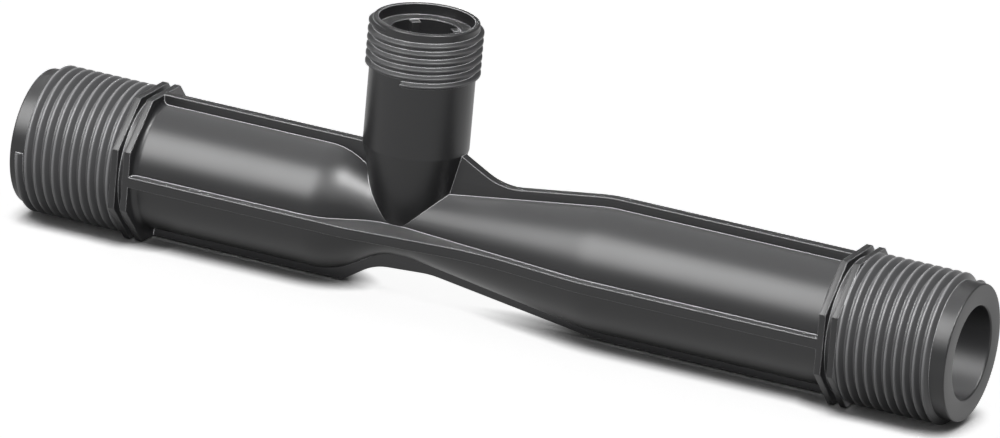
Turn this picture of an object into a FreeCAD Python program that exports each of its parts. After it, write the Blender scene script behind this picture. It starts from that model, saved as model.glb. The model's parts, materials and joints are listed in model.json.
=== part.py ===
import FreeCAD, Part

import math
import os

# Venturi fertilizer injector: one moulding with a threaded pipe run along X and a threaded
# suction port along Z. Millimetres. Water enters at the -X end and leaves at the +X end.
# The origin is where the axis of the run crosses the axis of the port.

Vector = FreeCAD.Vector
RUN_AXIS = Vector(1, 0, 0)
PORT_AXIS = Vector(0, 0, 1)

# Lengths along the run, from the crossing of the axes
inlet_face = 89.95
outlet_face = 133.4
inlet_shoulder = 60.3
outlet_shoulder = 104.1

# Pipe run
pipe_radius = 14.15
wall = 3.85
nozzle_angle = 31.0
nozzle_entry_round = 15.0
nozzle_exit_round = 13.5
throat_radius = 3.9
throat_start = -4.85
throat_end = 2.7
diffuser_angle = 8.2
diffuser_round = 40.0
shoulder_depth = 1.0

# Octagonal double flanges, where a wrench holds the part
flange_across_flats = 32.6
flange_plate = 1.55
flange_gap = 1.4
flange_edge = 0.2

# Male ends, 1 inch pipe size. Their fine thread is drawn by its crests, with the plain nose at
# root size and the lead from one to the other
end_radius = 15.13
end_edge = 0.3
bore_edge = 0.4
run_crest_radius = 16.55
thread_lead = 0.8
inlet_nose = 2.6
outlet_nose = 3.0

# Longitudinal ribs
rib_thickness = 2.4
rib_height = 2.15
rib_edge = 0.3
web_top = 17.8
web_angle = 28.0
web_round = 14.0
keel_bend = -14.3
keel_angle = 34.0
keel_throat_depth = 11.3
keel_throat_end = 6.5
side_rib_bend = -8.0
side_rib_foot = 21.6

# Suction port, with a 1 inch thread of 14 to the inch
port_height = 46.43
port_radius = 11.64
port_cone_top = 17.9
port_foot_radius = 7.5
port_edge = 0.35
port_crest_radius = 12.63
port_pitch = 25.4 / 14
port_crest_width = 0.42
port_root_width = 0.45
port_thread_bottom = 34.63
port_thread_turns = 6.0
port_thread_clock = -88.0
seat_radius = 10.5
seat_depth = 2.5
port_bore_radius = 7.7
suction_cone_bottom = 5.0
suction_hole_radius = 3.0

# Lugs that stop the port's insert, in the mouth of its bore
lug_count = 4
lug_width = 2.1
lug_reach = 1.7
lug_height = 7.0
lug_drop = 0.2

# How far one shape runs into the next, so that they fuse
overlap = 0.4


def blended_path(corners, rounds):
    """Edges along the corners of an outline. Each inner corner has an arc of its own radius, or 0."""
    edges = []
    start = corners[0]
    for before, corner, after, radius in zip(corners, corners[1:], corners[2:], rounds):
        inward = (before - corner).normalize()
        outward = (after - corner).normalize()
        if radius == 0:
            edges.append(Part.makeLine(start, corner))
            start = corner
            continue
        half_turn = (math.pi - inward.getAngle(outward)) / 2
        reach = radius * math.tan(half_turn)
        first = corner + inward * reach
        last = corner + outward * reach
        bisector = (inward + outward).normalize()
        middle = corner + bisector * (radius / math.cos(half_turn) - radius)
        edges.append(Part.makeLine(start, first))
        edges.append(Part.Arc(first, middle, last).toShape())
        start = last
    edges.append(Part.makeLine(start, corners[-1]))
    return edges


def closed_face(edges, closing_points):
    """Face inside an open chain of edges that is closed through the given points."""
    chain = Part.Wire(edges)
    first = edges[0].Vertexes[0].Point
    last = edges[-1].Vertexes[-1].Point
    points = [last] + closing_points + [first]
    sides = [Part.makeLine(a, b) for a, b in zip(points, points[1:])]
    return Part.Face(Part.Wire(chain.Edges + sides))


def polygon_face(points):
    return Part.Face(Part.makePolygon(points + [points[0]]))


def run_point(x, radius):
    """Point of the run's outline, which is drawn above the X axis."""
    return Vector(x, 0, radius)


def nozzle_start(drop):
    return throat_start - drop / math.tan(math.radians(nozzle_angle))


def diffuser_end(drop):
    return throat_end + drop / math.tan(math.radians(diffuser_angle))


def revolved_run(radius, first_x, last_x, rounds):
    """Solid inside the outline of the run at a given pipe radius: nozzle, throat and diffuser.
    rounds holds the radius at each corner, from the nozzle's entry to the diffuser's end."""
    drop = pipe_radius - wall - throat_radius
    corners = [
        run_point(first_x, radius),
        run_point(nozzle_start(drop), radius),
        run_point(throat_start, radius - drop),
        run_point(throat_end, radius - drop),
        run_point(diffuser_end(drop), radius),
        run_point(last_x, radius),
    ]
    edges = blended_path(corners, rounds)
    face = closed_face(edges, [run_point(last_x, 0), run_point(first_x, 0)])
    return face.revolve(Vector(0, 0, 0), RUN_AXIS, 360)


def shoulder_flare(face_x, inward):
    """Cone that fills the corner between the pipe and a flange."""
    foot_x = face_x + (shoulder_depth + overlap) * inward
    points = [
        run_point(face_x, 0),
        run_point(face_x, pipe_radius + shoulder_depth),
        run_point(foot_x, pipe_radius - overlap),
        run_point(foot_x, 0),
    ]
    return polygon_face(points).revolve(Vector(0, 0, 0), RUN_AXIS, 360)


def flange_width():
    return 2 * flange_plate + flange_gap


def male_end(shoulder_x, face_x, nose, inward):
    """Barrel of one end: root size between the flange plates and at its nose, crest size between."""
    first_crest_x = shoulder_x - flange_width() * inward
    nose_x = face_x + nose * inward
    points = [
        run_point(shoulder_x, 0),
        run_point(shoulder_x, end_radius),
        run_point(first_crest_x, end_radius),
        run_point(first_crest_x, run_crest_radius),
        run_point(nose_x + thread_lead * inward, run_crest_radius),
        run_point(nose_x, end_radius),
        run_point(face_x + end_edge * inward, end_radius),
        run_point(face_x, end_radius - end_edge),
        run_point(face_x, 0),
    ]
    return polygon_face(points).revolve(Vector(0, 0, 0), RUN_AXIS, 360)


def octagon_plate(first_x):
    """One octagonal plate, flat at the top and with its edges broken."""
    corner_radius = flange_across_flats / 2 / math.cos(math.radians(22.5))
    angles = [math.radians(22.5 + 45 * i) for i in range(8)]
    points = [Vector(first_x, -corner_radius * math.sin(a), corner_radius * math.cos(a)) for a in angles]
    plate = polygon_face(points).extrude(RUN_AXIS * flange_plate)
    rims = [edge for edge in plate.Edges if abs(edge.tangentAt(edge.FirstParameter).x) < 0.5]
    return plate.makeChamfer(flange_edge, rims)


def double_flange(shoulder_x, outward):
    """Two plates with a gap between them, outward of the shoulder."""
    first_x = shoulder_x if outward > 0 else shoulder_x - flange_width()
    return [octagon_plate(first_x), octagon_plate(first_x + flange_plate + flange_gap)]


def port_thread():
    """Right-handed ridge round the port, with a flat cut at each end."""
    slope = (port_pitch - port_root_width - port_crest_width) / 2 / (port_crest_radius - port_radius)
    base = port_radius - overlap
    base_half = port_crest_width / 2 + slope * (port_crest_radius - base)
    profile = Part.makePolygon([
        Vector(base, 0, -base_half),
        Vector(port_crest_radius, 0, -port_crest_width / 2),
        Vector(port_crest_radius, 0, port_crest_width / 2),
        Vector(base, 0, base_half),
        Vector(base, 0, -base_half),
    ])
    path = Part.makeHelix(port_pitch, port_pitch * port_thread_turns, port_radius)
    ridge = Part.Wire(path).makePipeShell([profile], True, True)
    ridge.rotate(Vector(0, 0, 0), PORT_AXIS, port_thread_clock)
    ridge.translate(Vector(0, 0, port_thread_bottom))
    return ridge


def rib_line(x):
    """Height of a rib above the axis where it follows the diffuser."""
    return throat_radius + wall + rib_height + (x - throat_end) * math.tan(math.radians(diffuser_angle))


def diffuser_corner():
    rib_radius = pipe_radius + rib_height
    return run_point(diffuser_end(pipe_radius - wall - throat_radius), rib_radius)


def rib_plate(corners, rounds, turn):
    """Rib whose outer edge follows the corners, turned about the run from the top to its side."""
    edges = blended_path(corners, rounds)
    face = closed_face(edges, [run_point(corners[-1].x, 0), run_point(corners[0].x, 0)])
    face.translate(Vector(0, -rib_thickness / 2, 0))
    plate = face.extrude(Vector(0, rib_thickness, 0))
    rims = [edge for edge in plate.Edges if is_outer_rim(edge)]
    plate = plate.makeChamfer(rib_edge, rims)
    plate.rotate(Vector(0, 0, 0), RUN_AXIS, turn)
    return plate


def is_outer_rim(edge):
    """True for the long outer edges of a rib, which lie on one of its two sides."""
    ends = [vertex.Point for vertex in edge.Vertexes]
    across = abs(ends[0].y - ends[1].y)
    along = abs(ends[0].x - ends[1].x)
    return across < 0.01 and along > 0.01 and min(p.z for p in ends) > 1


def side_rib(turn):
    rib_radius = pipe_radius + rib_height
    corners = [
        run_point(-inlet_shoulder - overlap, rib_radius),
        run_point(side_rib_bend, rib_radius),
        run_point(side_rib_foot, rib_line(side_rib_foot)),
        diffuser_corner(),
        run_point(outlet_shoulder + overlap, rib_radius),
    ]
    return rib_plate(corners, [10, 60, diffuser_round], turn)


def keel():
    """Bottom rib, which follows the nozzle more loosely than the pipe does."""
    rib_radius = pipe_radius + rib_height
    slope_run = (rib_radius - keel_throat_depth) / math.tan(math.radians(keel_angle))
    corners = [
        run_point(-inlet_shoulder - overlap, rib_radius),
        run_point(keel_bend, rib_radius),
        run_point(keel_bend + slope_run, keel_throat_depth),
        run_point(keel_throat_end, rib_line(keel_throat_end)),
        diffuser_corner(),
        run_point(outlet_shoulder + overlap, rib_radius),
    ]
    return rib_plate(corners, [3, 12, 20, diffuser_round], 180)


def inlet_top_rib():
    rib_radius = pipe_radius + rib_height
    corners = [run_point(-inlet_shoulder - overlap, rib_radius), run_point(-port_radius / 2, rib_radius)]
    return rib_plate(corners, [], 0)


def outlet_top_rib():
    """Top rib behind the port, which rises to the port in a web."""
    rib_radius = pipe_radius + rib_height
    web_slope = math.tan(math.radians(web_angle))
    diffuser_slope = math.tan(math.radians(diffuser_angle))
    web_foot = (web_top + web_slope * port_radius - rib_line(0)) / (web_slope + diffuser_slope)
    corners = [
        run_point(port_radius / 2, web_top + web_slope * port_radius / 2),
        run_point(web_foot, rib_line(web_foot)),
        diffuser_corner(),
        run_point(outlet_shoulder + overlap, rib_radius),
    ]
    return rib_plate(corners, [web_round, diffuser_round], 0)


def port_point(radius, z):
    return Vector(radius, 0, z)


def port_barrel():
    points = [
        port_point(0, 0),
        port_point(port_foot_radius, 0),
        port_point(port_radius, port_cone_top),
        port_point(port_radius, port_height - port_edge),
        port_point(port_radius - port_edge, port_height),
        port_point(0, port_height),
    ]
    return polygon_face(points).revolve(Vector(0, 0, 0), PORT_AXIS, 360)


def port_passage():
    """Hollow of the port: seat at its mouth, bore, cone and the hole into the throat."""
    above = port_height + overlap
    points = [
        port_point(0, 0),
        port_point(suction_hole_radius, 0),
        port_point(suction_hole_radius, suction_cone_bottom),
        port_point(port_bore_radius, port_cone_top),
        port_point(port_bore_radius, port_height - seat_depth),
        port_point(seat_radius, port_height - seat_depth),
        port_point(seat_radius, above),
        port_point(0, above),
    ]
    return polygon_face(points).revolve(Vector(0, 0, 0), PORT_AXIS, 360)


def bore_mouth(face_x, inward):
    """Cone that breaks the edge of the bore at one end face."""
    bore_radius = pipe_radius - wall
    points = [
        run_point(face_x - overlap * inward, 0),
        run_point(face_x - overlap * inward, bore_radius + bore_edge + overlap),
        run_point(face_x + bore_edge * inward, bore_radius),
        run_point(face_x + bore_edge * inward, 0),
    ]
    return polygon_face(points).revolve(Vector(0, 0, 0), RUN_AXIS, 360)


def lugs():
    """Short lugs on the wall of the port's bore, between the planes of the ribs."""
    top = port_height - seat_depth - lug_drop
    inner = port_bore_radius - lug_reach
    shapes = []
    for i in range(lug_count):
        lug = Part.makeBox(lug_reach + overlap, lug_width, lug_height,
                           Vector(inner, -lug_width / 2, top - lug_height))
        lug.rotate(Vector(0, 0, 0), PORT_AXIS, 360 / lug_count * (i + 0.5))
        shapes.append(lug)
    return shapes


def injector_body():
    outside = [
        shoulder_flare(-inlet_shoulder, 1),
        shoulder_flare(outlet_shoulder, -1),
        male_end(-inlet_shoulder, -inlet_face, inlet_nose, 1),
        male_end(outlet_shoulder, outlet_face, outlet_nose, -1),
        inlet_top_rib(),
        outlet_top_rib(),
        keel(),
        side_rib(90),
        side_rib(-90),
        port_barrel(),
        port_thread(),
    ]
    outside += double_flange(-inlet_shoulder, -1)
    outside += double_flange(outlet_shoulder, 1)
    pipe = revolved_run(pipe_radius, -inlet_shoulder, outlet_shoulder,
                        [nozzle_entry_round, nozzle_exit_round, nozzle_exit_round, diffuser_round])
    solid = pipe.multiFuse(outside)
    bore = revolved_run(pipe_radius - wall, -inlet_face - overlap, outlet_face + overlap,
                        [nozzle_entry_round, 0, 0, 0])
    passages = [bore, port_passage(), bore_mouth(-inlet_face, 1), bore_mouth(outlet_face, -1)]
    solid = solid.cut(passages)
    solid = solid.multiFuse(lugs())
    return solid.removeSplitter().Solids[0]


os.makedirs("parts", exist_ok=True)
injector_body().exportStep("parts/injector_body.step")
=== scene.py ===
import json
import math

import bpy
from bpy.props import FloatProperty, FloatVectorProperty, IntProperty, PointerProperty
from mathutils import Matrix, Vector

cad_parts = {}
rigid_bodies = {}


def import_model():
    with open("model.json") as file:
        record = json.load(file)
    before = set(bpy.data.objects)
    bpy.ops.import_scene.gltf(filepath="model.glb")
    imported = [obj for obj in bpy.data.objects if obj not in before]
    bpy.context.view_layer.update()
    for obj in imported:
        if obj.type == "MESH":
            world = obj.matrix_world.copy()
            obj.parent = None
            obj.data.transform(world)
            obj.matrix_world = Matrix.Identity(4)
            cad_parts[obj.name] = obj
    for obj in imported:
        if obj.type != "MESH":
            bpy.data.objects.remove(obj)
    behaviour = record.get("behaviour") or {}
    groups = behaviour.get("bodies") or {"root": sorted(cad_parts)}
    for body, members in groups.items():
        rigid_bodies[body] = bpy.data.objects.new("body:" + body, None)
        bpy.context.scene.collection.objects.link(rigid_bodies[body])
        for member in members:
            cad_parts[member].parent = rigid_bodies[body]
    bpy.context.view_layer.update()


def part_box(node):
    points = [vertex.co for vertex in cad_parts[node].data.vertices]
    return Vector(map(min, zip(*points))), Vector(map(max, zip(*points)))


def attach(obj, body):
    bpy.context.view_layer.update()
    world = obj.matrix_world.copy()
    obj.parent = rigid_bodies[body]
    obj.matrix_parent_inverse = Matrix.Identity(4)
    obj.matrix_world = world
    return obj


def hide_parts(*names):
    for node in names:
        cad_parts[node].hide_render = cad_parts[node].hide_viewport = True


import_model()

bl_info = {
    "name": "Venturi Injector",
    "version": (1, 0, 0),
    "blender": (4, 5, 0),
    "location": "View3D > Sidebar > Injector",
    "description": "Models a venturi fertilizer injector with ribs, threaded ends and a suction port",
    "category": "Add Mesh",
}

MM = 0.001
MOULDING = "injector_moulding"


def millimetres(name, value, description):
    return FloatProperty(name=name, description=description, default=value * MM, unit="LENGTH", precision=5)


def degrees(name, value, description):
    return FloatProperty(name=name, description=description, default=math.radians(value), unit="ROTATION")


class RunSizes(bpy.types.PropertyGroup):
    """Sizes of the pipe run, from the crossing of the axes."""
    inlet_face: millimetres("Inlet face", 89.95, "Distance of the inlet's end face")
    outlet_face: millimetres("Outlet face", 133.4, "Distance of the outlet's end face")
    inlet_shoulder: millimetres("Inlet shoulder", 60.3, "Distance of the inner side of the inlet flange")
    outlet_shoulder: millimetres("Outlet shoulder", 104.1, "Distance of the inner side of the outlet flange")
    pipe_radius: millimetres("Pipe radius", 14.15, "Outer radius of the plain pipe")
    wall: millimetres("Wall", 3.85, "Thickness of the wall")
    nozzle_angle: degrees("Nozzle angle", 31.0, "Slope of the nozzle")
    nozzle_entry_round: millimetres("Nozzle entry round", 15.0, "Radius where the pipe turns into the nozzle")
    nozzle_exit_round: millimetres("Nozzle exit round", 13.5, "Radius at both ends of the throat, outside")
    throat_radius: millimetres("Throat radius", 3.9, "Inner radius of the throat")
    throat_start: millimetres("Throat start", -4.85, "Place of the throat's first end")
    throat_end: millimetres("Throat end", 2.7, "Place of the throat's last end")
    diffuser_angle: degrees("Diffuser angle", 8.2, "Slope of the diffuser")
    diffuser_round: millimetres("Diffuser round", 40.0, "Radius where the diffuser meets the pipe")
    shoulder_round: millimetres("Shoulder round", 1.3, "Fillet between the pipe and a flange")
    bore_edge: millimetres("Bore edge", 0.4, "Rounding of the bore's edge")


class EndSizes(bpy.types.PropertyGroup):
    """Sizes of the flanges and of the threaded ends."""
    flange_across_flats: millimetres("Across flats", 32.6, "Width of the octagonal plates")
    flange_plate: millimetres("Flange plate", 1.55, "Thickness of one plate")
    flange_gap: millimetres("Flange gap", 1.4, "Gap between the two plates")
    flange_edge: millimetres("Flange edge", 0.13, "Rounding of the plates' edges")
    end_radius: millimetres("End radius", 15.13, "Radius of the barrel under the thread")
    end_edge: millimetres("End edge", 0.3, "Rounding of the end face's rim")
    crest_radius: millimetres("Crest radius", 16.55, "Radius over the thread's crests")
    pitch: millimetres("Pitch", 25.4 / 11.5, "Pitch of the run's threads")
    crest_width: millimetres("Crest width", 0.36, "Width of the flat on a crest")
    root_width: millimetres("Root width", 0.36, "Width of the flat between two ridges")
    inlet_plain_end: millimetres("Inlet plain end", 2.31, "From the inlet's face to the start of its ridge")
    inlet_clock: degrees("Inlet thread clock", 88.0, "Angle of the ridge's start, from top to front")
    outlet_plain_end: millimetres("Outlet plain end", 2.89, "From the outlet's face to the end of its ridge")
    outlet_clock: degrees("Outlet thread clock", 345.0, "Angle of the ridge's end, from top to front")
    outlet_fade_turns: FloatProperty(name="Outlet fade", default=0.08,
                                     description="Turns over which the outlet's ridge runs out")


class RibSizes(bpy.types.PropertyGroup):
    """Sizes of the longitudinal ribs."""
    thickness: millimetres("Thickness", 2.4, "Thickness of each rib")
    height: millimetres("Height", 2.15, "Height of a rib above the pipe")
    edge: millimetres("Edge", 0.14, "Rounding of the ribs' outer edges")
    web_top: millimetres("Web top", 17.8, "Height of the web where it meets the port")
    web_angle: degrees("Web angle", 28.0, "Slope of the web behind the port")
    web_round: millimetres("Web round", 14.0, "Radius at the web's foot")
    keel_bend: millimetres("Keel bend", -14.3, "Place where the keel turns towards the throat")
    keel_angle: degrees("Keel angle", 34.0, "Slope of the keel under the nozzle")
    keel_throat_depth: millimetres("Keel depth", 11.3, "Depth of the keel under the throat")
    keel_throat_end: millimetres("Keel throat end", 6.5, "Place where the keel turns along the diffuser")
    side_bend: millimetres("Side rib bend", -8.0, "Place where a side rib starts to narrow")
    side_foot: millimetres("Side rib foot", 21.6, "Place where a side rib reaches the diffuser's slope")


class PortSizes(bpy.types.PropertyGroup):
    """Sizes of the suction port."""
    height: millimetres("Height", 46.43, "Height of the port's rim above the axis")
    radius: millimetres("Radius", 11.64, "Outer radius of the port's barrel")
    cone_top: millimetres("Cone top", 17.9, "Height where the cone meets the barrel")
    foot_radius: millimetres("Foot radius", 7.5, "Radius of the cone at the height of the axis")
    edge: millimetres("Edge", 0.35, "Rounding of the rim")
    crest_radius: millimetres("Crest radius", 12.63, "Radius over the thread's crests")
    pitch: millimetres("Pitch", 25.4 / 14, "Pitch of the port's thread")
    crest_width: millimetres("Crest width", 0.42, "Width of the flat on a crest")
    root_width: millimetres("Root width", 0.45, "Width of the flat between two ridges")
    thread_bottom: millimetres("Thread bottom", 34.63, "Height of the ridge's start")
    thread_turns: FloatProperty(name="Thread turns", description="Turns of the port's thread", default=6.0)
    thread_clock: degrees("Thread clock", -88.0, "Angle of the ridge's start about the port")
    fade_turns: FloatProperty(name="Fade turns", default=0.22,
                              description="Turns over which the ridge runs out")
    seat_radius: millimetres("Seat radius", 10.5, "Radius of the seat in the port's mouth")
    seat_depth: millimetres("Seat depth", 2.5, "Depth of the seat")
    bore_radius: millimetres("Bore radius", 7.7, "Radius of the port's bore")
    cone_bottom: millimetres("Suction cone bottom", 5.0, "Height where the bore's cone ends")
    hole_radius: millimetres("Suction hole radius", 3.0, "Radius of the hole into the throat")
    lug_count: IntProperty(name="Lugs", description="Lugs inside the port's mouth", default=4)
    lug_width: millimetres("Lug width", 2.1, "Width of each lug")
    lug_reach: millimetres("Lug reach", 1.7, "How far a lug stands out of the bore's wall")
    lug_height: millimetres("Lug height", 7.0, "Height of each lug")
    lug_drop: millimetres("Lug drop", 0.2, "Drop from the ledge to a lug's top")


class FinishSettings(bpy.types.PropertyGroup):
    """Colour and surface of the moulded plastic, and the painted highlights on its edges and threads."""
    plastic: FloatVectorProperty(name="Plastic", description="Colour of the moulded plastic", size=3,
                                 subtype="COLOR", default=(0.0095, 0.0095, 0.01), min=0, max=1)
    # Colour of the painted highlight: a pale line along every edge, convex and concave, where light catches
    # it.
    edge_colour: FloatVectorProperty(name="Edge colour", description="Colour of the plastic along its edges",
                                     size=3, subtype="COLOR", default=(0.42, 0.42, 0.43), min=0, max=1)
    # Width of that painted highlight, and the radius by which the shading rounds the edges.
    edge_width: millimetres("Edge width", 0.3, "Width of the pale line along each edge")
    roughness: FloatProperty(name="Roughness", default=0.37, min=0, max=1,
                             description="Roughness of the plastic")
    specular: FloatProperty(name="Specular", default=0.42,
                            description="Strength of the plastic's reflection")
    grain: millimetres("Grain", 0.35, "Size of the fine grain that the mould leaves")


class StageSettings(bpy.types.PropertyGroup):
    """Floor, lamps and camera."""
    floor_size: FloatProperty(name="Floor size", default=10.0, unit="LENGTH",
                              description="Width of the floor, in metres")
    floor_colour: FloatVectorProperty(name="Floor colour", description="Colour of the floor", size=3,
                                      subtype="COLOR", default=(0.82, 0.82, 0.82), min=0, max=1)
    shade_reach: millimetres("Shade reach", 7.0, "How far the part shades the floor's lift")
    lift: FloatProperty(name="Lift", description="Strength that lifts the floor to white", default=0.9)
    azimuth: degrees("Azimuth", 23.45, "Camera's turn from the front towards the outlet")
    elevation: degrees("Elevation", 18.772, "Camera's height above the horizon")
    roll: degrees("Roll", 5.161, "Turn of the picture about the view, clockwise")
    lens: FloatProperty(name="Lens", description="Focal length in millimetres", default=470.0)
    sensor: FloatProperty(name="Sensor", description="Sensor width in millimetres", default=36.0)
    frame_width: millimetres("Frame width", 217.057, "Width that the picture takes in at the object")
    frame_right: millimetres("Frame right", 19.69, "Middle of the picture, to the right of the crossed axes")
    frame_up: millimetres("Frame up", 0.544, "Middle of the picture, above the crossed axes")


class InjectorSettings(bpy.types.PropertyGroup):
    """All settings of the injector."""
    run: PointerProperty(type=RunSizes, name="Run", description="Pipe run")
    ends: PointerProperty(type=EndSizes, name="Ends", description="Flanges and threaded ends")
    ribs: PointerProperty(type=RibSizes, name="Ribs", description="Longitudinal ribs")
    port: PointerProperty(type=PortSizes, name="Port", description="Suction port")
    finish: PointerProperty(type=FinishSettings, name="Finish", description="Moulded plastic")
    stage: PointerProperty(type=StageSettings, name="Stage", description="Floor, lamps and camera")


# Modelling helpers

TURN_STEPS = 160                    # faces round a turned solid
THREAD_STEPS = 112                  # faces round one turn of a thread
BEVEL_STEPS = 3                     # faces across a rounded edge
MOUTH_STEPS = 5                     # faces across the rounded edge of the bore
CONE_RINGS = 6                      # rings of faces along the port's cone
ARC_STEP = math.radians(3.0)        # turn between two points of a rounded corner
CREST_STEP = math.radians(30)       # the same on the crest of a thread
SMOOTH_ANGLE = math.radians(28)     # edges sharper than this stay sharp
RUN_INTO = 0.25 * MM                # how far a shape runs into the one that carries it
CUT_PAST = 1.0 * MM                 # how far a cut runs past a face
SMALL = 0.01 * MM                   # closer places count as the same
MERGE = 0.0005 * MM                 # closer points are merged
CREST_EASE = 0.08 * MM              # rounding of a thread's crest
LEAST_SHARE = 0.05                  # least height of a ridge that has run out
SHOULDER_SHARE = 1.6                # height of the step that carries a shoulder's fillet, in fillets
THROAT_ROUND = 2.0 * MM             # radius at both ends of the throat, inside
CONE_TOP_ROUND = 0.3 * MM           # radius where the port's cone meets its barrel
HOLE_ROUND = 0.3 * MM               # radius at the foot of the suction bore's cone
BORE_ROUND = 1.0 * MM               # radius at the top of the suction bore's cone
LEDGE_ROUND = 0.12 * MM             # radius at the inner and outer edge of the seat's ledge
LUG_ROUND = 0.15 * MM               # rounding of a lug's edges
SIDE_ROUNDS = (10 * MM, 60 * MM)    # radii where a side rib starts and stops narrowing
KEEL_ROUNDS = (3 * MM, 12 * MM, 20 * MM)    # radii where the keel bends
OCTAGON_TURN = math.radians(22.5)   # half the angle between two flats
RUN_AXIS = Vector((1, 0, 0))
PORT_AXIS = Vector((0, 0, 1))


def deselect_all():
    if bpy.context.object and bpy.context.object.mode != "OBJECT":
        bpy.ops.object.mode_set(mode="OBJECT")
    bpy.ops.object.select_all(action="DESELECT")


def activate(piece):
    deselect_all()
    piece.select_set(True)
    bpy.context.view_layer.objects.active = piece


def arc_through(corner, before, after, radius, step):
    """Points of the arc that rounds a corner of an outline."""
    inward = (before - corner).normalized()
    outward = (after - corner).normalized()
    half_turn = (math.pi - inward.angle(outward)) / 2
    reach = radius * math.tan(half_turn)
    centre = corner + (inward + outward).normalized() * (radius / math.cos(half_turn))
    first = corner + inward * reach - centre
    side = corner + outward * reach - centre
    steps = max(2, math.ceil(2 * half_turn / step))
    spread = math.sin(2 * half_turn)
    points = []
    for i in range(steps + 1):
        turn = 2 * half_turn * i / steps
        mixed = first * math.sin(2 * half_turn - turn) + side * math.sin(turn)
        points.append(centre + mixed / spread)
    return points


def rounded(corners, rounds, step=ARC_STEP):
    """Points of an outline whose inner corners are rounded, each with its own radius, or 0."""
    corners = [Vector(corner) for corner in corners]
    points = [corners[0]]
    for before, corner, after, radius in zip(corners, corners[1:], corners[2:], rounds):
        if radius == 0:
            points.append(corner)
        else:
            points += arc_through(corner, before, after, radius, step)
    points.append(corners[-1])
    return points


def draw_chain(name, points):
    """New object, left in edit mode, whose points are drawn one after the other in the XZ plane."""
    deselect_all()
    bpy.ops.mesh.primitive_plane_add(size=MM, location=(0, 0, 0))
    piece = bpy.context.object
    piece.name = name
    bpy.ops.object.mode_set(mode="EDIT")
    bpy.ops.mesh.select_mode(type="VERT")
    bpy.ops.mesh.select_all(action="SELECT")
    bpy.ops.mesh.merge(type="CENTER")
    bpy.ops.transform.translate(value=(points[0].x, 0, points[0].y))
    for a, b in zip(points, points[1:]):
        step = b - a
        bpy.ops.mesh.extrude_region_move(TRANSFORM_OT_translate={"value": (step.x, 0, step.y)})
    return piece


def close_up():
    """In edit mode: merges doubles and turns all faces outwards, then leaves edit mode."""
    bpy.ops.mesh.select_all(action="SELECT")
    bpy.ops.mesh.remove_doubles(threshold=MERGE)
    bpy.ops.mesh.dissolve_degenerate(threshold=MERGE)
    bpy.ops.mesh.select_all(action="SELECT")
    bpy.ops.mesh.normals_make_consistent(inside=False)
    bpy.ops.object.mode_set(mode="OBJECT")


def turned(name, points, axis):
    """Solid turned from an outline of (along, out) points that starts and ends on the axis."""
    if axis.x:
        drawn = points
    else:
        drawn = [Vector((point.y, point.x)) for point in points]
    piece = draw_chain(name, drawn)
    bpy.ops.mesh.select_all(action="SELECT")
    bpy.ops.mesh.spin(steps=TURN_STEPS, angle=2 * math.pi, center=(0, 0, 0), axis=axis, use_auto_merge=True)
    close_up()
    return piece


def plate(name, outline, thickness, edge, is_rim):
    """Flat plate, centred on the XZ plane, with rounded edges where is_rim says so."""
    piece = draw_chain(name, outline)
    bpy.ops.mesh.select_all(action="SELECT")
    bpy.ops.mesh.edge_face_add()
    bpy.ops.transform.translate(value=(0, -thickness / 2, 0))
    bpy.ops.mesh.extrude_region_move(TRANSFORM_OT_translate={"value": (0, thickness, 0)})
    close_up()
    select_edges(piece, is_rim)
    bpy.ops.mesh.bevel(offset=edge, segments=BEVEL_STEPS, affect="EDGES")
    close_up()
    return piece


def select_edges(piece, wanted):
    """Enters edit mode with only the edges selected whose two ends pass the test."""
    activate(piece)
    bpy.ops.object.mode_set(mode="EDIT")
    bpy.ops.mesh.select_mode(type="EDGE")
    bpy.ops.mesh.select_all(action="DESELECT")
    bpy.ops.object.mode_set(mode="OBJECT")
    places = [vertex.co for vertex in piece.data.vertices]
    for edge in piece.data.edges:
        a, b = edge.vertices
        edge.select = wanted(places[a], places[b])
    bpy.ops.object.mode_set(mode="EDIT")


def place(piece, matrix):
    """Moves a piece and applies its place to its mesh."""
    activate(piece)
    piece.matrix_world = matrix
    bpy.ops.object.transform_apply(location=True, rotation=True, scale=True)


def combine(body, tools, operation):
    """Joins the tools to the body or cuts them out of it, and removes them."""
    for tool in tools:
        activate(body)
        join = body.modifiers.new("join", "BOOLEAN")
        join.operation = operation
        join.solver = "MANIFOLD"
        join.object = tool
        bpy.ops.object.modifier_apply(modifier=join.name)
        if not body.data.polygons:
            raise RuntimeError(f"joining {tool.name} left nothing")
        bpy.data.objects.remove(tool)


def about_run(angle):
    return Matrix.Rotation(angle, 4, "X")


def about_port(angle):
    return Matrix.Rotation(angle, 4, "Z")


# The run's outline, which the ribs follow

def throat_drop(run):
    return run.pipe_radius - run.wall - run.throat_radius


def nozzle_start(run):
    return run.throat_start - throat_drop(run) / math.tan(run.nozzle_angle)


def diffuser_end(run):
    return run.throat_end + throat_drop(run) / math.tan(run.diffuser_angle)


def run_corners(run, radius):
    """Corners of the nozzle, throat and diffuser at a given pipe radius."""
    return [
        (nozzle_start(run), radius),
        (run.throat_start, radius - throat_drop(run)),
        (run.throat_end, radius - throat_drop(run)),
        (diffuser_end(run), radius),
    ]


def flange_width(ends):
    return 2 * ends.flange_plate + ends.flange_gap


def rib_line(settings, x):
    """Height of a rib above the axis where it follows the diffuser."""
    run = settings.run
    foot = run.throat_radius + run.wall + settings.ribs.height
    return foot + (x - run.throat_end) * math.tan(run.diffuser_angle)


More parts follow.
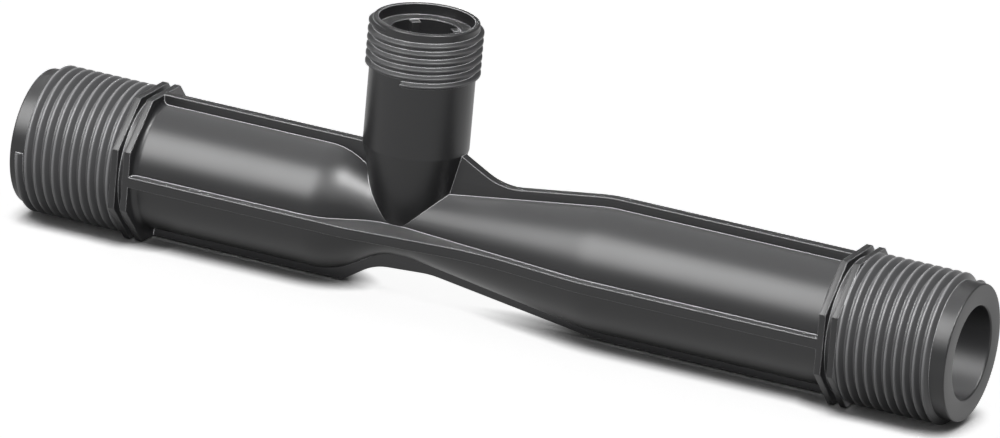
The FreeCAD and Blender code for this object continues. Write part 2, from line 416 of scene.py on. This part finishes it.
def thread_ridge(name, sizes, root, turns, fades):
    """Right-handed ridge along +Z from the point at angle 0 and height 0, with a flat cut at each end.
    fades holds the turns over which it runs out into the barrel at its start and at its end."""
    slope = (sizes.pitch - sizes.root_width - sizes.crest_width) / 2 / (sizes.crest_radius - root)
    base = root - RUN_INTO
    base_half = sizes.crest_width / 2 + slope * (sizes.crest_radius - base)
    outline = rounded([
        (base, -base_half),
        (sizes.crest_radius, -sizes.crest_width / 2),
        (sizes.crest_radius, sizes.crest_width / 2),
        (base, base_half),
    ], [CREST_EASE, CREST_EASE], CREST_STEP)
    piece = draw_chain(name, outline)
    bpy.ops.mesh.select_all(action="SELECT")
    bpy.ops.mesh.edge_face_add()
    bpy.ops.mesh.delete(type="ONLY_FACE")
    bpy.ops.object.mode_set(mode="OBJECT")
    count = len(piece.data.vertices)
    screw = piece.modifiers.new("screw", "SCREW")
    screw.axis = "Z"
    screw.angle = 2 * math.pi * turns
    screw.screw_offset = sizes.pitch * turns
    screw.steps = round(THREAD_STEPS * turns)
    screw.render_steps = screw.steps
    screw.use_merge_vertices = False
    bpy.ops.object.modifier_apply(modifier=screw.name)
    run_out(piece, count, base, fades)
    bpy.ops.object.mode_set(mode="EDIT")
    bpy.ops.mesh.select_all(action="SELECT")
    bpy.ops.mesh.fill_holes(sides=0)
    close_up()
    return piece


def run_out(piece, count, base, fades):
    """Sinks the first and last turns of a ridge into the barrel, ring of points by ring."""
    last = len(piece.data.vertices) // count - 1
    for vertex in piece.data.vertices:
        ring = vertex.index // count
        share = 1.0
        if fades[0]:
            share = min(share, ring / (fades[0] * THREAD_STEPS))
        if fades[1]:
            share = min(share, (last - ring) / (fades[1] * THREAD_STEPS))
        if share < 1:
            smooth = share * share * (3 - 2 * share)
            out = math.hypot(vertex.co.x, vertex.co.y)
            wanted = base + (out - base) * max(smooth, LEAST_SHARE)
            vertex.co.x *= wanted / out
            vertex.co.y *= wanted / out


class INJECTOR_OT_pipe_run(bpy.types.Operator):
    """Turns the pipe run: two barrels, the nozzle, the throat and the diffuser"""
    bl_idname = "injector.pipe_run"
    bl_label = "Pipe run"

    def execute(self, context):
        settings = context.scene.injector
        run, ends = settings.run, settings.ends
        rim = ends.end_edge
        step = run.pipe_radius + run.shoulder_round * SHOULDER_SHARE
        outline = rounded([
            (-run.inlet_face, 0),
            (-run.inlet_face, ends.end_radius),
            (-run.inlet_shoulder - ends.flange_plate, ends.end_radius),
            (-run.inlet_shoulder - ends.flange_plate, step),
            (-run.inlet_shoulder, step),
            (-run.inlet_shoulder, run.pipe_radius),
            *run_corners(run, run.pipe_radius),
            (run.outlet_shoulder, run.pipe_radius),
            (run.outlet_shoulder, step),
            (run.outlet_shoulder + ends.flange_plate, step),
            (run.outlet_shoulder + ends.flange_plate, ends.end_radius),
            (run.outlet_face, ends.end_radius),
            (run.outlet_face, 0),
        ], [rim, 0, 0, 0, run.shoulder_round, run.nozzle_entry_round, run.nozzle_exit_round,
            run.nozzle_exit_round, run.diffuser_round, run.shoulder_round, 0, 0, 0, rim])
        turned("pipe_run", outline, RUN_AXIS)
        return {"FINISHED"}


class INJECTOR_OT_flanges(bpy.types.Operator):
    """Models the octagonal plates of the two double flanges"""
    bl_idname = "injector.flanges"
    bl_label = "Flanges"

    def execute(self, context):
        settings = context.scene.injector
        run, ends = settings.run, settings.ends
        step = ends.flange_plate + ends.flange_gap
        starts = [-run.inlet_shoulder - flange_width(ends), -run.inlet_shoulder - flange_width(ends) + step,
                  run.outlet_shoulder, run.outlet_shoulder + step]
        corner_radius = ends.flange_across_flats / 2 / math.cos(OCTAGON_TURN)
        for i, start in enumerate(starts):
            deselect_all()
            bpy.ops.mesh.primitive_cylinder_add(vertices=8, radius=corner_radius, depth=ends.flange_plate,
                                                location=(0, 0, 0))
            piece = bpy.context.object
            piece.name = f"flange_plate_{i}"
            select_edges(piece, lambda a, b: True)
            bpy.ops.mesh.bevel(offset=ends.flange_edge, segments=BEVEL_STEPS, affect="EDGES")
            close_up()
            middle = start + ends.flange_plate / 2
            turn = Matrix.Rotation(math.radians(90), 4, "Y") @ about_port(OCTAGON_TURN)
            place(piece, Matrix.Translation((middle, 0, 0)) @ turn)
        return {"FINISHED"}


class INJECTOR_OT_ribs(bpy.types.Operator):
    """Models the top ribs, the keel and the two side ribs"""
    bl_idname = "injector.ribs"
    bl_label = "Ribs"

    def execute(self, context):
        settings = context.scene.injector
        run, ribs, port = settings.run, settings.ribs, settings.port
        top = run.pipe_radius + ribs.height
        first = -run.inlet_shoulder - RUN_INTO
        last = run.outlet_shoulder + RUN_INTO
        corner = (diffuser_end(run), top)
        web_slope = math.tan(ribs.web_angle)
        diffuser_slope = math.tan(run.diffuser_angle)
        web_height = ribs.web_top + web_slope * port.radius
        web_foot = (web_height - rib_line(settings, 0)) / (web_slope + diffuser_slope)
        keel_run = (top - ribs.keel_throat_depth) / math.tan(ribs.keel_angle)
        side = [(first, top), (ribs.side_bend, top), (ribs.side_foot, rib_line(settings, ribs.side_foot)),
                corner, (last, top)]
        side_rounds = [*SIDE_ROUNDS, run.diffuser_round]
        shapes = {
            "rib_top_inlet": ([(first, top), (-port.radius / 2, top)], [], 0),
            "rib_top_outlet": ([(port.radius / 2, ribs.web_top + web_slope * port.radius / 2),
                                (web_foot, rib_line(settings, web_foot)), corner, (last, top)],
                               [ribs.web_round, run.diffuser_round], 0),
            "rib_keel": ([(first, top), (ribs.keel_bend, top),
                          (ribs.keel_bend + keel_run, ribs.keel_throat_depth),
                          (ribs.keel_throat_end, rib_line(settings, ribs.keel_throat_end)),
                          corner, (last, top)],
                         [*KEEL_ROUNDS, run.diffuser_round], 180),
            "rib_back": (side, side_rounds, -90),
            "rib_front": (side, side_rounds, 90),
        }
        for name, (corners, rounds, turn) in shapes.items():
            outline = rounded(corners, rounds)
            outline += [Vector((corners[-1][0], 0)), Vector((corners[0][0], 0))]
            piece = plate(name, outline, ribs.thickness, ribs.edge, is_rib_rim)
            place(piece, about_run(math.radians(turn)))
        return {"FINISHED"}


def is_rib_rim(a, b):
    """True for the long outer edges of a rib before it is turned."""
    return abs(a.y - b.y) < SMALL and abs(a.x - b.x) > SMALL and min(a.z, b.z) > MM


class INJECTOR_OT_run_threads(bpy.types.Operator):
    """Models the helical ridges of the two threaded ends"""
    bl_idname = "injector.run_threads"
    bl_label = "Run threads"

    def execute(self, context):
        settings = context.scene.injector
        run, ends = settings.run, settings.ends
        inner = ends.flange_plate / 2
        for name, face, shoulder, plain, clock, fade, inward in [
            ("thread_inlet", -run.inlet_face, -run.inlet_shoulder,
             ends.inlet_plain_end, ends.inlet_clock, 0, 1),
            ("thread_outlet", run.outlet_face, run.outlet_shoulder,
             ends.outlet_plain_end, ends.outlet_clock, ends.outlet_fade_turns, -1),
        ]:
            start = face + plain * inward
            length = abs(shoulder - start) - flange_width(ends) + inner
            ridge = thread_ridge(name, ends, ends.end_radius, length / ends.pitch, (fade, 0))
            lay = Matrix.Rotation(math.radians(90 * inward), 4, "Y")
            turn = about_run(clock - (math.pi if inward > 0 else 0))
            place(ridge, Matrix.Translation((start, 0, 0)) @ turn @ lay)
        return {"FINISHED"}


class INJECTOR_OT_suction_port(bpy.types.Operator):
    """Turns the suction port and models the ridge of its thread"""
    bl_idname = "injector.suction_port"
    bl_label = "Suction port"

    def execute(self, context):
        port = context.scene.injector.port
        widening = port.radius - port.foot_radius
        cone = [(port.cone_top * i / CONE_RINGS, port.foot_radius + widening * i / CONE_RINGS)
                for i in range(CONE_RINGS)]
        outline = rounded([(0, 0), *cone, (port.cone_top, port.radius), (port.height, port.radius),
                           (port.height, 0)], [0] * CONE_RINGS + [CONE_TOP_ROUND, port.edge])
        turned("port_barrel", outline, PORT_AXIS)
        ridge = thread_ridge("thread_port", port, port.radius, port.thread_turns, (0, port.fade_turns))
        place(ridge, Matrix.Translation((0, 0, port.thread_bottom)) @ about_port(port.thread_clock))
        return {"FINISHED"}


class INJECTOR_OT_passages(bpy.types.Operator):
    """Turns the hollow of the run and the hollow of the port"""
    bl_idname = "injector.passages"
    bl_label = "Passages"

    def execute(self, context):
        settings = context.scene.injector
        port = settings.port
        turned("run_passage", passage_outline(settings.run), RUN_AXIS)
        ledge = port.height - port.seat_depth
        outline = rounded([
            (0, 0),
            (0, port.hole_radius),
            (port.cone_bottom, port.hole_radius),
            (port.cone_top, port.bore_radius),
            (ledge, port.bore_radius),
            (ledge, port.seat_radius),
            (port.height + CUT_PAST, port.seat_radius),
            (port.height + CUT_PAST, 0),
        ], [0, HOLE_ROUND, BORE_ROUND, LEDGE_ROUND, LEDGE_ROUND, 0])
        turned("port_passage", outline, PORT_AXIS)
        return {"FINISHED"}


def passage_outline(run):
    """Outline of the run's hollow, with a quarter round at each mouth that breaks the bore's edge."""
    bore = run.pipe_radius - run.wall
    edge = run.bore_edge
    outline = rounded([(-run.inlet_face, bore), *run_corners(run, bore), (run.outlet_face, bore)],
                      [run.nozzle_entry_round, THROAT_ROUND, THROAT_ROUND, run.diffuser_round])
    inlet, outlet = [], []
    for i in range(MOUTH_STEPS + 1):
        turn = math.pi / 2 * i / MOUTH_STEPS
        out = bore + edge * (1 - math.sin(turn))
        inside = edge * (1 - math.cos(turn))
        inlet.append(Vector((-run.inlet_face + inside, out)))
        outlet.append(Vector((run.outlet_face - inside, out)))
    start = [Vector((-run.inlet_face - CUT_PAST, 0)), Vector((-run.inlet_face - CUT_PAST, bore + edge))]
    end = [Vector((run.outlet_face + CUT_PAST, bore + edge)), Vector((run.outlet_face + CUT_PAST, 0))]
    return start + inlet + outline[1:-1] + outlet[::-1] + end


class INJECTOR_OT_lugs(bpy.types.Operator):
    """Models the lugs inside the mouth of the port"""
    bl_idname = "injector.lugs"
    bl_label = "Lugs"

    def execute(self, context):
        port = context.scene.injector.port
        reach = port.lug_reach + RUN_INTO
        middle = port.bore_radius - port.lug_reach + reach / 2
        top = port.height - port.seat_depth - port.lug_drop
        for i in range(port.lug_count):
            deselect_all()
            bpy.ops.mesh.primitive_cube_add(size=1, location=(0, 0, 0))
            piece = bpy.context.object
            piece.name = f"lug_{i}"
            place(piece, Matrix.Diagonal((reach, port.lug_width, port.lug_height, 1)))
            select_edges(piece, lambda a, b: max(a.z, b.z) > 0 and min(a.x, b.x) < 0)
            bpy.ops.mesh.bevel(offset=LUG_ROUND, segments=BEVEL_STEPS, affect="EDGES")
            close_up()
            turn = 2 * math.pi * (i + 0.5) / port.lug_count
            place(piece, about_port(turn) @ Matrix.Translation((middle, 0, top - port.lug_height / 2)))
        return {"FINISHED"}


class INJECTOR_OT_moulding(bpy.types.Operator):
    """Joins all the shapes into one moulding, cuts its passages and gives it its plastic"""
    bl_idname = "injector.moulding"
    bl_label = "Moulding"

    def execute(self, context):
        objects = bpy.data.objects
        body = objects["pipe_run"]
        solid_names = ("flange_plate_", "rib_", "port_barrel", "thread_")
        solids = [piece for piece in objects if piece.name.startswith(solid_names)]
        combine(body, solids, "UNION")
        combine(body, [objects["run_passage"], objects["port_passage"]], "DIFFERENCE")
        combine(body, [piece for piece in objects if piece.name.startswith("lug_")], "UNION")
        body.name = MOULDING
        body.data.name = MOULDING
        activate(body)
        bpy.ops.object.mode_set(mode="EDIT")
        close_up()
        bpy.ops.object.shade_smooth_by_angle(angle=SMOOTH_ANGLE)
        body.data.materials.clear()
        body.data.materials.append(moulded_plastic(context.scene.injector))
        bpy.data.collections["lit_by_lamps"].objects.link(body)
        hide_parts("injector_body")
        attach(body, "root")
        return {"FINISHED"}


# Shader maths

MIX_SHARE, MIX_A, MIX_B, MIX_RESULT = 0, 6, 7, 2    # colour sockets of a Mix node
OCCLUSION_LEVEL = 1                                 # output of an Ambient Occlusion node

# Stops of ramps: (position, level)
# Strength of the painted highlights: pale edge lines, paler thread flanks and brighter thread crests.
EDGE_HIGHLIGHT_STOPS = [(0.02, 0.0), (0.2, 0.85)]
RUN_HIGHLIGHT_STOPS = [(0.0, 0.07), (0.78, 0.08), (0.93, 0.18), (1.0, 0.2)]
PORT_HIGHLIGHT_STOPS = [(0.0, 0.0), (0.75, 0.01), (0.95, 0.05), (1.0, 0.06)]
FLOOR_SHADE_STOPS = [(0.3, 0.0), (0.8, 1.0)]

FLOW_SCALE = 60.0                   # flow marks to the metre
DARKEST, PALEST = 0.85, 1.25        # shades of the plastic along its flow marks
FLOW_ROUGHNESS = 0.06               # how much the roughness varies with them
GRAIN_STRENGTH = 0.12
GRAIN_HEIGHT = 0.02 * MM
BARREL_DEPTH = -0.15                # shares of a thread's height that tell its zones apart
ROOT_TOP = 0.05
PORT_ROOT_TOP = 0.15
BORE_MARGIN = 0.1 * MM
LUG_MARGIN = 0.2 * MM


class Wire:
    """A socket of a material's nodes, which Python's operators can work on."""

    def __init__(self, nodes, socket):
        self.nodes = nodes
        self.socket = socket

    def maths(self, operation, *values):
        return self.nodes.add("ShaderNodeMath", {"operation": operation}, *values)

    def __add__(self, other):
        return self.maths("ADD", self, other)

    def __sub__(self, other):
        return self.maths("SUBTRACT", self, other)

    def __rsub__(self, other):
        return self.maths("SUBTRACT", other, self)

    def __mul__(self, other):
        return self.maths("MULTIPLY", self, other)

    def __truediv__(self, other):
        return self.maths("DIVIDE", self, other)

    def __gt__(self, other):
        return self.maths("GREATER_THAN", self, other)

    def __lt__(self, other):
        return self.maths("LESS_THAN", self, other)

    def maximum(self, other):
        return self.maths("MAXIMUM", self, other)


class Nodes:
    """The nodes of one material or world. add returns a new node's first output."""

    def __init__(self, tree):
        self.tree = tree
        self.tree.nodes.clear()

    def new(self, kind, settings, *values, **named):
        node = self.tree.nodes.new(kind)
        for key, value in settings.items():
            if key == "stops":
                self.set_stops(node.color_ramp, value)
            else:
                setattr(node, key, value)
        for i, value in enumerate(values):
            self.connect(value, node.inputs[i])
        for key, value in named.items():
            self.connect(value, node.inputs[key.replace("_", " ")])
        return node

    def add(self, kind, settings, *values, output=0, **named):
        node = self.new(kind, settings, *values, **named)
        return Wire(self, node.outputs[output])

    def hypotenuse(self, a, b):
        total = a * a + b * b
        return total.maths("SQRT", total)

    def ramp(self, level, stops):
        return self.add("ShaderNodeValToRGB", {"stops": stops}, level)

    def blend(self, share, a, b):
        """Colour between a and b; each is a wire or a constant."""
        node = self.tree.nodes.new("ShaderNodeMix")
        node.data_type = "RGBA"
        self.connect(share, node.inputs[MIX_SHARE])
        for colour, socket in [(a, node.inputs[MIX_A]), (b, node.inputs[MIX_B])]:
            self.connect(colour if isinstance(colour, Wire) else opaque(colour), socket)
        return Wire(self, node.outputs[MIX_RESULT])

    def connect(self, value, socket):
        if isinstance(value, Wire):
            self.tree.links.new(value.socket, socket)
        elif value is not None:
            socket.default_value = value

    @staticmethod
    def set_stops(ramp, stops):
        while len(ramp.elements) < len(stops):
            ramp.elements.new(1.0)
        for element, (position, level) in zip(ramp.elements, stops):
            element.position = position
            element.color = (level, level, level, 1)


def opaque(colour):
    return (*colour, 1.0)


def run_thread_zone(x, out, nose_end, flange_end, pitch):
    """1 on a thread of the run, else 0. out is how far a point stands out of the barrel, as a share
    of the thread's height. In the first turn from the nose only the ridge counts, and not the barrel."""
    inward = 1 if flange_end > nose_end else -1
    from_nose = (x - nose_end) * inward
    length = abs(flange_end - nose_end)
    inside = (from_nose > -pitch / 2) * (from_nose < length) * (out > BARREL_DEPTH)
    return inside * (out > ROOT_TOP).maximum(from_nose > pitch)


def paint_thread_highlights(nodes, x, y, z, settings):
    """How much painted highlight each point of the threads gets: paler flanks and brighter crests. The second
    value is 1 on all the threads.
    """
    run, ends, port = settings.run, settings.ends, settings.port
    out_of_run = (nodes.hypotenuse(y, z) - ends.end_radius) / (ends.crest_radius - ends.end_radius)
    out_of_port = (nodes.hypotenuse(x, y) - port.radius) / (port.crest_radius - port.radius)
    on_run = run_thread_zone(x, out_of_run, ends.inlet_plain_end - run.inlet_face,
                             -run.inlet_shoulder - flange_width(ends), ends.pitch)
    on_run = on_run + run_thread_zone(x, out_of_run, run.outlet_face - ends.outlet_plain_end,
                                      run.outlet_shoulder + flange_width(ends), ends.pitch)
    on_port = (z > port.thread_bottom - port.pitch) * (out_of_port > PORT_ROOT_TOP)
    run_highlight = nodes.ramp(out_of_run, RUN_HIGHLIGHT_STOPS)
    port_highlight = nodes.ramp(out_of_port, PORT_HIGHLIGHT_STOPS)
    return on_run * run_highlight + on_port * port_highlight, on_run.maximum(on_port)


def moulded_plastic(settings):
    """Dark satin plastic with a fine mould grain and faint flow marks, and painted highlights: pale lines
    along the edges, and paler threads with brighter crests.
    Under the lamps of the stage it renders two to three times as bright as it is written."""
    finish, port = settings.finish, settings.port
    material = bpy.data.materials.new("moulded_plastic")
    material.use_nodes = True
    nodes = Nodes(material.node_tree)
    place_in = nodes.add("ShaderNodeTexCoord", {}, output="Object")
    grain = nodes.add("ShaderNodeTexNoise", {}, Vector=place_in, Scale=1 / finish.grain, Detail=2.0)
    flow = nodes.add("ShaderNodeTexNoise", {}, Vector=place_in, Scale=FLOW_SCALE, Detail=3.0)
    rounded_normal = nodes.add("ShaderNodeBevel", {"samples": 6}, Radius=finish.edge_width)
    true_normal = nodes.add("ShaderNodeNewGeometry", {}, output="Normal")
    straight = nodes.add("ShaderNodeVectorMath", {"operation": "DOT_PRODUCT"}, rounded_normal, true_normal,
                         output="Value")
    # Painted highlight: a pale line wherever the rounded normal turns away from the true one, along convex
    # and concave edges alike.
    edge = nodes.ramp(1 - straight, EDGE_HIGHLIGHT_STOPS)
    parts = nodes.new("ShaderNodeSeparateXYZ", {}, place_in)
    x, y, z = [Wire(nodes, parts.outputs[i]) for i in range(3)]
    thread_highlight, on_thread = paint_thread_highlights(nodes, x, y, z, settings)
    # The lugs' sides in the bore get no painted edge highlight, so only their tops show a pale strip.
    lug_top = port.height - port.seat_depth - port.lug_drop
    in_bore = nodes.hypotenuse(x, y) < port.bore_radius + BORE_MARGIN
    below_lugs = in_bore * (z < lug_top - LUG_MARGIN)
    # Share of painted highlight: the edge lines, which are kept off the threads, plus the painted highlight
    # on the threads.
    pale = edge * (1 - on_thread) * (1 - below_lugs) + thread_highlight
    shade = nodes.blend(flow * 0.5, [level * DARKEST for level in finish.plastic],
                        [level * PALEST for level in finish.plastic])
    highlighted_colour = nodes.blend(pale, shade, finish.edge_colour)
    bump = nodes.add("ShaderNodeBump", {}, Strength=GRAIN_STRENGTH, Distance=GRAIN_HEIGHT,
                     Height=grain, Normal=rounded_normal)
    shader = nodes.new("ShaderNodeBsdfPrincipled", {}, Base_Color=highlighted_colour,
                       Roughness=flow * FLOW_ROUGHNESS + (finish.roughness - FLOW_ROUGHNESS / 2),
                       Normal=bump)
    shader.inputs["Specular IOR Level"].default_value = finish.specular
    shader.inputs["IOR"].default_value = 1.5
    nodes.new("ShaderNodeOutputMaterial", {}, Wire(nodes, shader.outputs[0]))
    return material


def seen_directly(nodes):
    """1 where the camera sees a surface itself, in a mirror or through glass, and 0 where it lights."""
    path = nodes.new("ShaderNodeLightPath", {})
    camera, glossy, through = [Wire(nodes, path.outputs[name]) for name in
                               ("Is Camera Ray", "Is Glossy Ray", "Is Transmission Ray")]
    return camera.maximum(glossy).maximum(through)


def floor_paint(colour, shade_reach, lift_strength):
    """Pale paint, lifted to white for the eye. The lift fades where the part shades the floor."""
    material = bpy.data.materials.new("floor_paint")
    material.use_nodes = True
    nodes = Nodes(material.node_tree)
    paint = nodes.add("ShaderNodeBsdfDiffuse", {}, Color=opaque(colour))
    open_sky = nodes.add("ShaderNodeAmbientOcclusion", {"samples": 16}, Distance=shade_reach,
                         output=OCCLUSION_LEVEL)
    kept = nodes.ramp(open_sky, FLOOR_SHADE_STOPS)
    lift = nodes.add("ShaderNodeEmission", {}, Color=kept, Strength=lift_strength)
    lifted = nodes.add("ShaderNodeAddShader", {}, paint, lift)
    shown = nodes.add("ShaderNodeMixShader", {}, seen_directly(nodes), paint, lifted)
    nodes.new("ShaderNodeOutputMaterial", {}, shown)
    return material


LAMP_DISTANCE = 0.9                 # metres from the crossing of the axes
CLIP_END = 100                      # metres
WORLD_STRENGTH = 0.15

# Lamps: name, direction, (width along the run, width across it) in metres, watts
LAMPS = [
    ("key_lamp", (-0.39, -0.60, 0.70), (0.45, 0.8), 13.5),
    ("spot_lamp", (0.44, -0.18, 0.88), (0.4, 0.4), 12.0),
    ("fill_lamp", (0.30, -0.50, 0.81), (0.9, 0.9), 6.0),
    ("top_lamp", (-0.39, 0.35, 0.85), (0.9, 0.9), 3.0),
    ("back_lamp", (-0.39, 0.86, 0.33), (0.4, 0.4), 0.15),
]


class INJECTOR_OT_stage(bpy.types.Operator):
    """Sets the floor, the lamps, the backdrop and the camera"""
    bl_idname = "injector.stage"
    bl_label = "Stage"

    def execute(self, context):
        settings = context.scene.injector
        stage = settings.stage
        deselect_all()
        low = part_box("injector_body")[0].z
        bpy.ops.mesh.primitive_plane_add(size=stage.floor_size, location=(0, 0, low))
        floor = bpy.context.object
        floor.name = "floor"
        floor.data.materials.append(floor_paint(stage.floor_colour, stage.shade_reach, stage.lift))
        lit = bpy.data.collections.new("lit_by_lamps")
        for name, direction, size, power in LAMPS:
            self.add_lamp(name, direction, size, power, lit)
        self.set_world(context.scene)
        self.add_camera(context.scene, stage)
        return {"FINISHED"}

    @staticmethod
    def add_lamp(name, direction, size, power, lit):
        """Oval lamp that lights only the part and casts no shadow."""
        towards = Vector(direction).normalized()
        across = RUN_AXIS.cross(towards).normalized()
        along = across.cross(towards)
        light = bpy.data.lights.new(name, "AREA")
        light.shape = "ELLIPSE"
        light.size, light.size_y = size
        light.energy = power
        light.use_shadow = False
        # With it, a lamp without shadow comes out too dim where the part stands before it.
        light.cycles.use_multiple_importance_sampling = False
        lamp = bpy.data.objects.new(name, light)
        turn = Matrix((along, across, towards)).transposed().to_4x4()
        lamp.matrix_world = Matrix.Translation(towards * LAMP_DISTANCE) @ turn
        lamp.light_linking.receiver_collection = lit
        bpy.context.scene.collection.objects.link(lamp)

    @staticmethod
    def set_world(scene):
        world = bpy.data.worlds.new("studio")
        scene.world = world
        world.use_nodes = True
        nodes = Nodes(world.node_tree)
        backdrop = nodes.add("ShaderNodeBackground", {}, Color=opaque((1, 1, 1)), Strength=WORLD_STRENGTH)
        nodes.new("ShaderNodeOutputWorld", {}, backdrop)

    @staticmethod
    def add_camera(scene, stage):
        sin_a, cos_a = math.sin(stage.azimuth), math.cos(stage.azimuth)
        sin_e, cos_e = math.sin(stage.elevation), math.cos(stage.elevation)
        right = Vector((cos_a, sin_a, 0))
        up = Vector((-sin_a * sin_e, cos_a * sin_e, cos_e))
        back = Vector((sin_a * cos_e, -cos_a * cos_e, sin_e))
        sin_r, cos_r = math.sin(stage.roll), math.cos(stage.roll)
        rolled_right = right * cos_r + up * sin_r
        rolled_up = up * cos_r - right * sin_r
        distance = stage.lens * stage.frame_width / stage.sensor
        centre = rolled_right * stage.frame_right + rolled_up * stage.frame_up
        data = bpy.data.cameras.new("camera")
        data.lens = stage.lens
        data.sensor_width = stage.sensor
        data.sensor_fit = "HORIZONTAL"
        data.clip_end = CLIP_END
        camera = bpy.data.objects.new("camera", data)
        turn = Matrix((rolled_right, rolled_up, back)).transposed().to_4x4()
        camera.matrix_world = Matrix.Translation(centre + back * distance) @ turn
        scene.collection.objects.link(camera)
        scene.camera = camera


class INJECTOR_PT_panel(bpy.types.Panel):
    """Lists the steps that build the injector"""
    bl_idname = "INJECTOR_PT_panel"
    bl_label = "Venturi Injector"
    bl_space_type = "VIEW_3D"
    bl_region_type = "UI"
    bl_category = "Injector"

    def draw(self, context):
        for step in STEPS:
            self.layout.operator(step.bl_idname, text=step.bl_label)


STEPS = [
    INJECTOR_OT_stage,
    INJECTOR_OT_pipe_run,
    INJECTOR_OT_flanges,
    INJECTOR_OT_ribs,
    INJECTOR_OT_run_threads,
    INJECTOR_OT_suction_port,
    INJECTOR_OT_passages,
    INJECTOR_OT_lugs,
    INJECTOR_OT_moulding,
]
CLASSES = [RunSizes, EndSizes, RibSizes, PortSizes, FinishSettings, StageSettings, InjectorSettings,
           *STEPS, INJECTOR_PT_panel]


def register():
    for each in CLASSES:
        bpy.utils.register_class(each)
    bpy.types.Scene.injector = PointerProperty(type=InjectorSettings, name="Injector", description="Settings")


def unregister():
    del bpy.types.Scene.injector
    for each in reversed(CLASSES):
        bpy.utils.unregister_class(each)


def main():
    register()
    bpy.ops.injector.stage()
    bpy.ops.injector.pipe_run()
    bpy.ops.injector.flanges()
    bpy.ops.injector.ribs()
    bpy.ops.injector.run_threads()
    bpy.ops.injector.suction_port()
    bpy.ops.injector.passages()
    bpy.ops.injector.lugs()
    bpy.ops.injector.moulding()
    bpy.context.scene.view_settings.view_transform = "Standard"


if __name__ == "__main__":
    main()
